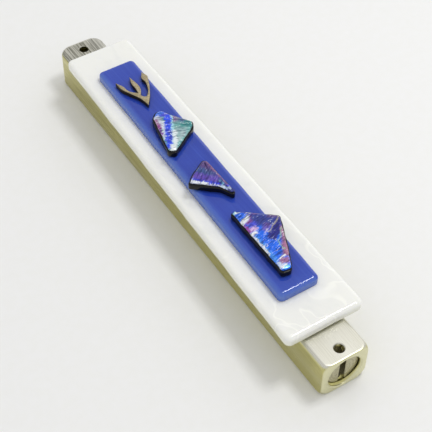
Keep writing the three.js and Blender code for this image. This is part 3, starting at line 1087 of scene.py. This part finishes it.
@dataclass
class EndPlug:
    """The screw plug with its slot, and the seal ring in the groove of its nose."""

    bar: CaseBar
    thread_clearance: float = 0.2 * MM
    face_chamfer: float = 0.25 * MM
    face_ease: float = 0.05 * MM
    nose_length: float = 3.0 * MM
    nose_chamfer: float = 0.2 * MM
    thread_run_out: float = 0.1 * MM
    groove_gap: float = 0.15 * MM
    slot_width: float = 2.0 * MM
    slot_depth: float = 4.7 * MM
    slot_chamfer: float = 0.22 * MM
    columns: int = 72
    ring_columns: int = 96
    wire_columns: int = 24

    def build(self) -> None:
        """Makes the plug and its seal."""
        self.plug()
        self.seal()

    def plug(self) -> None:
        """Makes the plug: threaded rows, then a plain nose with a groove, and a slot cut across."""
        low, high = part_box("screw_plug")
        seal_low, seal_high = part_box("plug_seal")
        root, gap, thread = self.bar.bore_radius - self.thread_clearance, self.groove_gap, self.bar.thread
        thread_end = high.y - self.nose_length
        angle = np.linspace(0, TURN, self.columns, endpoint=False)
        rows = round((thread_end - low.y) / thread.pitch * thread.rows_per_turn)
        threaded = np.linspace(low.y + self.face_chamfer, thread_end, rows)
        groove = (seal_high.x - seal_low.x) / 2 - (seal_high.y - seal_low.y) - gap
        face = np.array([[share * (root - self.face_ease), low.y] for share in (0.35, 0.7, 1.0)])
        nose = np.array([[root, thread_end + self.thread_run_out], [root, seal_low.y - gap],
                         [groove, seal_low.y - gap], [groove, seal_high.y + gap], [root, seal_high.y + gap],
                         [root, high.y - self.nose_chamfer], [root - self.nose_chamfer, high.y]])
        radius = np.concatenate([face[:, :1] + 0 * angle, thread.radius(root, angle, threaded[:, None]),
                                 nose[:, :1] + 0 * angle])
        place = np.concatenate([face[:, 1], threaded, nose[:, 1]])[:, None]
        poles = ([0, low.y, self.bar.axis], [0, high.y, self.bar.axis])
        plug = skin("plug", about_y(radius, place, angle, self.bar.axis), poles)
        cut(plug, [self.slot_cutter(low.y)])
        finish = TurnedAluminium("turned_aluminium_plug", axis_height=self.bar.axis)
        dress(plug, finish, "plug_aluminium", Body.PLUG, "screw_plug")

    def slot_cutter(self, face: float) -> bpy.types.Object:
        """The slot's cutter: its outline in X and Y, widened at the face, carried through Z.

        Args:
            face: the height of the plug's face.

        Returns:
            The cutter.
        """
        half, past = self.slot_width / 2, CUTTER_PAST
        wide = half + self.slot_chamfer
        right = np.array([[wide + past, -past], [wide, 0], [half, self.slot_chamfer],
                          [half, self.slot_depth]])
        outline = np.vstack([right, right[::-1] * [-1, 1]]) + [0, face]
        reach = 2 * self.bar.depth
        return skin("slot_cutter", np.stack([np.insert(outline, 2, z, 1) for z in (-reach, reach)]))

    def seal(self) -> None:
        """Makes the seal: a small circle carried round the bore's axis."""
        low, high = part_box("plug_seal")
        small = (high.y - low.y) / 2
        large = (high.x - low.x) / 2 - small
        round_bore = np.linspace(0, TURN, self.ring_columns, endpoint=False)[:, None]
        round_wire = np.linspace(0, TURN, self.wire_columns, endpoint=False)
        rings = about_y(large + small * np.cos(round_wire), (low.y + high.y) / 2 + small * np.sin(round_wire),
                        round_bore, (low.z + high.z) / 2)
        ring = skin("seal_ring", rings, wrap_rows=True)
        dress(ring, SEAL_RUBBER, "seal_rubber", Body.SEAL, "plug_seal")


@dataclass
class FusedPiece:
    """A flat fused-glass piece: its CAD outline with fire-polished rims and a gently uneven face.

    Attributes:
        node: the CAD node it stands for.
        name: its own name.
        round_top: how far its upper rim is rounded down its side.
        round_in: how far its upper rim is rounded in over its face.
        round_bottom: the same for its lower rim.
        dip: how much lower its uneven face may lie than its highest point.
        waver: how far in its outline may wander.
        wave: the length of that wandering.
        step: the longest straight side of its outline.
        face_rings: how many rings cross its face.
        drawn_in: how much further in it ends on its left and lower sides, a third of it elsewhere.
        ripples: the lengths of the sines that its face lies in, over TURN.
        sharp_degrees: its edges whose faces meet at more than this stay sharp.
    """

    node: str
    name: str
    round_top: float
    round_in: float
    round_bottom: float
    dip: float = 0.06 * MM
    waver: float = 0.0
    wave: float = 9 * MM
    step: float = 1.0 * MM
    face_rings: int = 10
    drawn_in: float = 0.0
    ripples: Triple = (2.1 * MM, 4.3 * MM, 7.7 * MM)
    sharp_degrees: float = 60.0

    def outline(self) -> np.ndarray:
        """The outline, drawn in here and there by two sines of its length.

        Returns:
            (x, y) rows.
        """
        loop = softened(plan_outline(self.node), self.step)
        if self.waver:
            run = np.concatenate([[0], np.cumsum(np.hypot(*np.diff(loop, axis=0).T))])
            whole = run[-1] + np.hypot(*(loop[0] - loop[-1]))
            turns = max(2, round(whole / self.wave))
            phase = run / whole * TURN
            drawn = 0.5 - 0.32 * np.sin(turns * phase + 0.7) - 0.18 * np.sin((2 * turns + 1) * phase + 2.1)
            loop = loop - outward(loop) * (self.waver * drawn)[:, None]
        normal = outward(loop)
        facing = np.clip(-0.75 * normal[:, 0] - 0.66 * normal[:, 1], 0, 1)
        return loop - normal * (self.drawn_in * (0.33 + 0.67 * facing))[:, None]

    def build(self) -> bpy.types.Object:
        """Makes the piece, not yet dressed: up the side through both rounded rims, then in over the
        face.

        A rim is a quarter ellipse. The face lies lower by a slow product of sines of x and y.

        Returns:
            The closed piece.
        """
        low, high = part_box(self.node)
        loop = self.outline()
        middle = loop.mean(0)
        bottom, top = quarter(4), quarter(8)
        inset = np.concatenate([self.round_bottom * (1 - np.sin(bottom)),
                                self.round_in * (1 - np.cos(top))])
        height = np.concatenate([low.z + self.round_bottom * (1 - np.cos(bottom)),
                                 high.z - self.round_top * (1 - np.sin(top)),
                                 np.full(self.face_rings - 1, high.z)])
        side = loop - inset[:, None, None] * outward(loop)
        share = np.linspace(1, 0, self.face_rings + 1)[1:-1, None, None]
        flat = np.concatenate([side, middle + share * (side[-1] - middle)])
        x, y = flat[..., 0], flat[..., 1]
        across, along, slow = self.ripples
        waves = 0.5 + 0.25 * np.sin(x / across + 0.6) * np.sin(y / along) + 0.25 * np.sin(y / slow + 1.3)
        settle = np.clip((height - low.z) / (high.z - low.z), 0, 1)[:, None] ** 4
        z = height[:, None] - self.dip * settle * np.clip(waves, 0, 1)
        poles = ([*middle, low.z], [*middle, high.z - 0.5 * self.dip])
        piece = skin(self.name, np.concatenate([flat, z[..., None]], -1), poles)
        smooth(piece.data, self.sharp_degrees)
        return piece


@dataclass
class GlassLayers:
    """The bond pad on the bar's front, the white plate on it and the blue plate on that."""

    lit_edge_width: float = 1.7 * MM
    lit_edge_height: float = 0.5 * MM

    def build(self) -> None:
        """Makes the pad and the two plates."""
        self.pad()
        self.white()
        self.blue()

    def pad(self) -> None:
        """Makes the adhesive pad under the glass."""
        pad = FusedPiece("glass_bond_pad", "bond_pad", round_top=0.12 * MM, round_in=0.12 * MM,
                         round_bottom=0.1 * MM, dip=0.0).build()
        dress(pad, BOND_ADHESIVE, "bond_adhesive", Body.CASE, "glass_bond_pad")

    def white(self) -> None:
        """Makes the white opal plate."""
        low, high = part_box("white_glass_plate")
        plate = FusedPiece("white_glass_plate", "white_plate", round_top=1.15 * MM, round_in=1.5 * MM,
                           round_bottom=0.7 * MM, dip=0.03 * MM, waver=0.14 * MM, wave=26 * MM).build()
        finish = OpalGlass("white_opal_glass", low=low.z, high=high.z)
        dress(plate, finish, "opal_glass", Body.CASE, "white_glass_plate")

    def blue(self) -> None:
        """Makes the blue plate, with a point value that says how much light its edge lets out.

        The value is 1 on the wall of the left and lower sides and falls off over the face.
        """
        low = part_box("blue_glass_plate")[0]
        shape = FusedPiece("blue_glass_plate", "blue_plate", round_top=1.15 * MM, round_in=1.4 * MM,
                           round_bottom=0.05 * MM, dip=0.08 * MM, waver=0.1 * MM, wave=24 * MM)
        plate = shape.build()
        places = np.array([v.co for v in plate.data.vertices])
        loop = shape.outline()
        squares = ((places[:, None, :2] - loop) ** 2).sum(-1)
        normal = outward(loop)[squares.argmin(1)]
        wall = np.clip(1 - np.sqrt(squares.min(1)) / self.lit_edge_width, 0, 1)
        facing = np.clip(-0.9 * normal[:, 0] - 0.75 * normal[:, 1], 0, 1)
        rising = np.clip((places[:, 2] - low.z) / self.lit_edge_height, 0.7, 1)
        held = plate.data.attributes.new("lit_edge", "FLOAT", "POINT")
        held.data.foreach_set("value", (wall * (0.15 + 0.85 * facing) * rising).astype(np.float32))
        dress(plate, BlueGlass("blue_opal_glass"), "blue_glass", Body.CASE, "blue_glass_plate")


@dataclass
class BrassLetter:
    """The letter shin, cut from brass plate."""

    edge: float = 0.24 * MM
    least_edge: float = 0.01 * MM
    edge_per_reach: float = 0.3
    step: float = 0.5 * MM
    corner_degrees: float = 38.0

    def build(self) -> None:
        """Makes the letter: its outline up a straight side, rolled in at both rims, faces flat.

        The roll is held back near each sharp corner, so that the drawn-in outline never crosses itself.
        """
        low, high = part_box("shin_letter")
        loop = softened(plan_outline("shin_letter"), self.step, 1, self.corner_degrees)
        corners = loop[np.degrees(turns_of(loop, 2)) > self.corner_degrees]
        reach = np.sqrt(((loop[:, None] - corners) ** 2).sum(-1)).min(1)
        edge = np.minimum(self.edge, self.least_edge + self.edge_per_reach * reach)
        bend = quarter(3)[1:, None]
        inset = np.vstack([0.5 * edge, 0 * edge, edge * (1 - np.cos(bend))])
        height = np.concatenate([[low.z, low.z + self.edge * 0.5],
                                 high.z - self.edge * (1 - np.sin(bend[:, 0]))])
        flat = loop - inset[..., None] * outward(loop)
        z = np.broadcast_to(height[:, None], inset.shape)
        letter = skin("letter_shin", np.concatenate([flat, z[..., None]], -1))
        finish = AntiqueBrass("antique_brass", face_height=high.z)
        dress(letter, finish, "letter_brass", Body.CASE, "shin_letter")


@dataclass
class DichroicChip:
    """One ornament: a black glass base with a dichroic cap fused on it.

    Attributes:
        node: the start of its CAD nodes' names.
        ground: the film's main colour.
        ridge_turn: the ridges' turn about Z, in degrees.
        rows: the values of each patch of colour, from the lowest layer up.
        flashes: how strongly the painted glints on the ridges show.
    """

    node: str
    ground: str
    ridge_turn: float
    rows: tuple[tuple, ...]
    flashes: float = 1.0

    def build(self) -> None:
        """Makes the base and the cap."""
        base = FusedPiece(f"{self.node}_base", f"{self.node}_black", round_top=0.3 * MM,
                          round_in=0.28 * MM, round_bottom=0.35 * MM, dip=0.0, waver=0.16 * MM,
                          wave=6 * MM, step=0.6 * MM).build()
        dress(base, BLACK_GLASS, "black_glass", Body.CASE, f"{self.node}_base")
        cap = FusedPiece(f"{self.node}_dichroic", f"{self.node}_cap", round_top=0.55 * MM,
                         round_in=0.9 * MM, round_bottom=0.05 * MM, dip=0.12 * MM, waver=0.12 * MM,
                         wave=5 * MM, step=0.5 * MM, face_rings=14, drawn_in=0.42 * MM).build()
        foot = (self.middle_x(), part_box(f"{self.node}_base")[0].y)
        patches = tuple(Patch(*row) for row in self.rows)
        finish = DichroicGlass(f"dichroic_{self.node}", self.ground, foot, patches, self.ridge_turn,
                               self.flashes)
        dress(cap, finish, "dichroic_glass", Body.CASE, f"{self.node}_dichroic")

    def middle_x(self) -> float:
        """The middle of the blue plate at the chip's own height, which its patches are set out from.

        Returns:
            Its place along X.
        """
        low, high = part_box(f"{self.node}_base")
        loop = plan_outline("blue_glass_plate")
        right = loop[:, 0] > loop[:, 0].mean()
        sides = [side[side[:, 1].argsort()] for side in (loop[~right], loop[right])]
        return float(sum(np.interp((low.y + high.y) / 2, side[:, 1], side[:, 0]) for side in sides) / 2)


@dataclass
class ScrollPack:
    """The rolled parchment in its clear sleeve."""

    wrap_gap: float = 0.4 * MM
    thickness: float = 0.35 * MM
    core: float = 1.5 * MM
    end_gap: float = 0.05 * MM
    film: float = 0.25 * MM
    lip: float = 0.08 * MM
    steps_per_turn: int = 60
    sheet_rows: int = 40
    plain_from: float = 1.0 * MM
    wall_rows: int = 12
    columns: int = 96

    def build(self) -> None:
        """Makes the scroll and the sleeve."""
        self.scroll()
        self.sleeve()

    def scroll(self) -> None:
        """Makes the scroll: a sheet whose radius grows evenly with its angle, given its thickness."""
        low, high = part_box("parchment_scroll")
        sleeve_low, sleeve_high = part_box("scroll_sleeve")
        outer = (sleeve_high.x - sleeve_low.x) / 2 - self.film - self.wrap_gap - self.thickness / 2
        pitch, start = self.thickness + self.wrap_gap, self.core + self.thickness / 2
        turns = (outer - start) / pitch
        angle = np.linspace(0, turns * TURN, round(turns * self.steps_per_turn))
        place = np.linspace(low.y + self.end_gap, high.y - self.end_gap, self.sheet_rows)[:, None]
        grid = about_y(start + pitch * angle / TURN, place, angle, (sleeve_low.z + sleeve_high.z) / 2)
        first = np.arange(place.size - 1)[:, None] * angle.size + np.arange(angle.size - 1)
        quads = np.stack([first, first + 1, first + 1 + angle.size, first + angle.size], -1).reshape(-1, 4)
        sheet = put_in_scene("parchment", grid.reshape(-1, 3), quads.tolist())
        wall = sheet.modifiers.new("thickness", "SOLIDIFY")
        wall.thickness, wall.offset = self.thickness, 0.0
        dress(sheet, Parchment("scraped_parchment"), "parchment", Body.SCROLL, "parchment_scroll")

    def sleeve(self) -> None:
        """Makes the sleeve: a thin closed wall turned about the bore's axis, its rims rounded."""
        low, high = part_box("scroll_sleeve")
        outer, lip = (high.x - low.x) / 2, self.lip
        inner, middle = outer - self.film, outer - self.film / 2
        wall = np.linspace(low.y + self.plain_from, high.y - self.plain_from, self.wall_rows)
        profile = np.array([[inner, low.y + lip], [middle, low.y], [outer, low.y + lip],
                            *[[outer, y] for y in wall],
                            [outer, high.y - lip], [middle, high.y], [inner, high.y - lip],
                            *[[inner, y] for y in wall[::-1]]])
        angle = np.linspace(0, TURN, self.columns, endpoint=False)
        rings = about_y(profile[:, :1], profile[:, 1:], angle, (low.z + high.z) / 2)
        tube = skin("sleeve", rings, wrap_rows=True)
        dress(tube, ClearFilm("clear_plastic_film"), "clear_film", Body.SCROLL, "scroll_sleeve")


# ---------------------------------------------------------------- studio


@dataclass(frozen=True)
class Lamp:
    """One square soft light that faces the case.

    Attributes:
        name: its name.
        way: the direction from the case towards it.
        away: its distance.
        size: the length of its side.
        power: its power in watts.
    """

    name: str
    way: Triple
    away: float
    size: float
    power: float


@dataclass
class Studio:
    """The floor, the lights and the camera."""

    aim: Triple = (-1.114 * MM, -12.424 * MM, 10.0 * MM)
    distance: float = 337.516 * MM
    heading: float = 33.4198
    elevation: float = 48.5781
    roll: float = 1.1265
    lens: float = 95.427
    sensor: float = 36.0
    clip: Pair = (0.01, 20.0)
    floor_half: float = 3.0
    floor_drop: float = 0.05 * MM
    sky: str = "#fbfbfb"
    sky_strength: float = 0.75
    lamps: tuple[Lamp, ...] = (Lamp("key", (0.36, -0.05, 0.93), away=0.55, size=0.13, power=0.85),
                               Lamp("back", (0.8, 0.5, 0.45), away=0.9, size=0.6, power=0.5))

    def build(self) -> None:
        """Makes the whole studio."""
        self.camera()
        self.floor()
        self.world()
        for lamp in self.lamps:
            self.light(lamp)
        bpy.context.scene.view_settings.view_transform = "Standard"

    def place(self, name: str, data: bpy.types.ID, back: Vector, away: float,
              roll: float = 0.0) -> bpy.types.Object:
        """Puts a camera or a light where it looks at the aim.

        Args:
            name: its name.
            data: the camera's or light's own data.
            back: the unit direction from the aim to it.
            away: its distance.
            roll: its turn about its own line of sight, in degrees.

        Returns:
            The object.
        """
        item = bpy.data.objects.new(name, data)
        bpy.context.scene.collection.objects.link(item)
        item.location = Vector(self.aim) + back * away
        item.rotation_mode = "QUATERNION"
        turn = Quaternion((0, 0, 1), math.radians(roll))
        item.rotation_quaternion = (-back).to_track_quat("-Z", "Y") @ turn
        return item

    def camera(self) -> None:
        """Places the camera by its heading, elevation, distance and roll."""
        heading, elevation = math.radians(self.heading), math.radians(self.elevation)
        back = Vector((-math.sin(heading) * math.cos(elevation), -math.cos(heading) * math.cos(elevation),
                       math.sin(elevation)))
        data = bpy.data.cameras.new("camera")
        data.lens, data.sensor_width = self.lens, self.sensor
        data.clip_start, data.clip_end = self.clip
        bpy.context.scene.camera = self.place("camera", data, back, self.distance, self.roll)

    def floor(self) -> None:
        """Makes the pale floor just under the case."""
        corners = [(x * self.floor_half, y * self.floor_half, -self.floor_drop)
                   for x, y in ((-1, -1), (1, -1), (1, 1), (-1, 1))]
        mesh = bpy.data.meshes.new("floor")
        mesh.from_pydata(corners, [], [[0, 1, 2, 3]])
        mesh.materials.append(PALE_PAINT.material())
        floor = bpy.data.objects.new("floor", mesh)
        bpy.context.scene.collection.objects.link(floor)

    def world(self) -> None:
        """Surrounds the studio with an even pale light."""
        world = bpy.data.worlds.new("studio")
        world.use_nodes = True
        shade = world.node_tree.nodes["Background"]
        shade.inputs[0].default_value = colour(self.sky)
        shade.inputs[1].default_value = self.sky_strength
        bpy.context.scene.world = world

    def light(self, lamp: Lamp) -> None:
        """Adds one light.

        Args:
            lamp: what it is.
        """
        data = bpy.data.lights.new(lamp.name, "AREA")
        data.shape, data.size, data.energy = "SQUARE", lamp.size, lamp.power
        self.place(lamp.name, data, Vector(lamp.way).normalized(), lamp.away)


# rows with near-white colours are painted highlights where the coating catches the light
UPPER_CHIP = DichroicChip("chip_upper", "#7ab8b6", 68.0, (
    ("#3b9593", 4.8, 8.4, 2.4, 1.4, -35, 0.8),
    ("#55739f", 4.4, 11.0, 1.5, 1.3, 30, 0.8),
    ("#7a6386", 3.4, 13.4, 1.8, 1.7, 20, 1.1, 0.9),
    ("#874f92", 2.2, 12.2, 0.9, 1.6, -20, 0.8, 0.8),
    ("#a5bfc4", 1.2, 6.4, 1.9, 1.7, -30, 0.8, 0.7),
    ("#c5dbdc", 0.4, 4.6, 0.6, 2.2, -60, 0.4, 0.8),
    ("#d4dcef", -2.4, 13.2, 1.2, 3.0, -12, 0.5),
    ("#b481ae", -3.1, 13.3, 0.7, 1.7, -10, 0.4),
    ("#9a2f95", -3.3, 11.3, 0.6, 1.1, -12, 0.4),
    ("#8e5bb8", -4.0, 9.0, 0.6, 1.4, -16, 0.4),
    ("#f2fcff", -2.6, 9.6, 0.3, 3.8, -27, 0.35),
    ("#b8f0ff", -0.65, 8.3, 0.45, 7.6, -27, 0.35),
    ("#effcff", -1.5, 5.2, 0.75, 2.9, -27, 0.5),
    ("#2a52ff", -1.65, 8.8, 1.0, 7.9, -27, 0.35),
    ("#1a2fb4", -2.4, 6.6, 0.5, 2.6, -27, 0.5, 0.7),
    ("#4a4fe6", 0.9, 15.6, 1.7, 1.0, 20, 0.6),
    ("#3f7cf8", -0.7, 17.0, 1.9, 1.2, 0, 0.5),
    ("#c9ecff", -0.5, 17.9, 1.0, 0.4, 10, 0.35),
    ("#f4fdff", -4.0, 1.8, 0.9, 1.3, -30, 0.4),
))

# rows with near-white colours are painted highlights where the coating catches the light
MIDDLE_CHIP = DichroicChip("chip_middle", "#3d4590", -52.0, (
    ("#5c4488", 0.6, 13.4, 1.7, 3.2, 5, 0.9),
    ("#7c4474", 2.2, 11.6, 0.8, 4.4, 6, 0.6, 0.9),
    ("#3a64a4", -1.6, 11.4, 1.4, 2.4, 45, 0.9, 0.6),
    ("#84467c", 2.0, 8.0, 0.6, 6.0, 2, 0.5, 0.9),
    ("#6448bc", -2.8, 9.8, 1.3, 4.6, 45, 0.8),
    ("#ab88c8", -6.0, 12.1, 0.8, 1.0, -60, 0.6),
    ("#2b3fe6", -2.9, 7.3, 0.7, 6.6, 44, 0.4),
    ("#f4f9ff", -3.4, 7.1, 0.5, 5.6, 44, 0.25),
    ("#4e8dff", -4.4, 6.6, 0.35, 5.6, 44, 0.3),
    ("#cfe4ff", 0.9, 3.0, 0.4, 1.6, 28, 0.3),
    ("#7fd0ee", 0.5, 5.9, 0.3, 0.35, 0, 0.3),
    ("#6fc6ea", 0.6, 4.7, 0.3, 0.35, 0, 0.3),
), 0.4)

# rows with near-white colours are painted highlights where the coating catches the light
LOWER_CHIP = DichroicChip("chip_lower", "#1a70fb", -75.0, (
    ("#5cb6ff", -2.0, 9.6, 0.5, 5.5, 0, 0.6, 0.6),
    ("#2036b4", 1.2, 24.0, 1.3, 1.5, 30, 0.6),
    ("#8fdcf0", -2.1, 25.5, 1.1, 0.8, 0, 0.4),
    ("#f2fdff", -1.5, 24.9, 1.1, 0.35, 0, 0.25),
    ("#f4f7ff", -1.3, 21.1, 1.9, 0.75, 17, 0.35),
    ("#9c4f9c", 2.2, 21.8, 1.9, 0.8, 25, 0.5),
    ("#b563b6", -0.1, 20.1, 1.6, 0.6, 20, 0.4),
    ("#33429c", 3.6, 18.7, 3.9, 2.3, -28, 0.7),
    ("#745689", 6.6, 18.7, 1.8, 0.8, -35, 0.6, 0.8),
    ("#4d55e6", -0.2, 18.8, 1.3, 0.8, 0, 0.5),
    ("#dcb4ec", -1.3, 17.4, 1.5, 0.7, 0, 0.45),
    ("#a647b0", -2.5, 18.4, 0.4, 1.5, 0, 0.35),
    ("#8458a6", 2.4, 15.9, 1.5, 1.0, 30, 0.7, 0.7),
    ("#d9d4f4", 1.6, 15.0, 0.9, 0.25, 30, 0.3, 0.8),
    ("#fbfdff", -2.0, 16.0, 1.4, 0.5, 0, 0.3),
    ("#20238c", 4.6, 14.2, 4.4, 1.4, 35, 0.5),
    ("#b9ae98", 4.9, 15.9, 3.4, 0.16, 31, 0.15, 0.8),
    ("#a97094", 4.3, 9.4, 1.1, 5.6, -30, 0.5),
    ("#9cbf9c", 4.4, 12.1, 2.6, 0.16, 48, 0.15, 0.9),
    ("#9cc7b4", 2.3, 8.6, 0.18, 1.8, 0, 0.15, 0.9),
    ("#0d2f98", 1.0, 7.7, 1.2, 0.25, 8, 0.25),
    ("#0f34a4", 0.0, 12.6, 1.8, 0.2, 10, 0.25, 0.7),
    ("#0f34a4", -0.5, 10.6, 1.5, 0.18, 12, 0.25, 0.7),
    ("#f6fbff", -2.5, 11.3, 0.35, 4.0, 0, 0.25),
    ("#a5709f", 0.0, 3.6, 1.3, 1.0, -25, 0.45),
    ("#f7fbff", 0.1, 4.9, 1.2, 0.28, 8, 0.2),
    ("#d7e6ff", -2.0, 3.0, 0.6, 1.2, 0, 0.4),
    ("#fafcff", -1.2, 2.2, 1.0, 0.35, 0, 0.25),
    ("#7ed6f4", -0.7, 1.6, 0.9, 0.4, 0, 0.3),
    ("#b8bb84", 0.6, 22.6, 2.9, 0.15, 20, 0.12, 0.8),
))


def main() -> None:
    """Builds the case piece by piece and the studio round it."""
    logging.basicConfig(level=logging.INFO, format="%(message)s")
    bar = CaseBar()
    assemblies = [bar, EndPlug(bar), GlassLayers(), BrassLetter(), UPPER_CHIP, MIDDLE_CHIP, LOWER_CHIP,
                  ScrollPack()]
    for assembly in assemblies:
        assembly.build()
        LOG.info("%s is built", type(assembly).__name__)
    Studio().build()


if __name__ == "__main__":
    main()
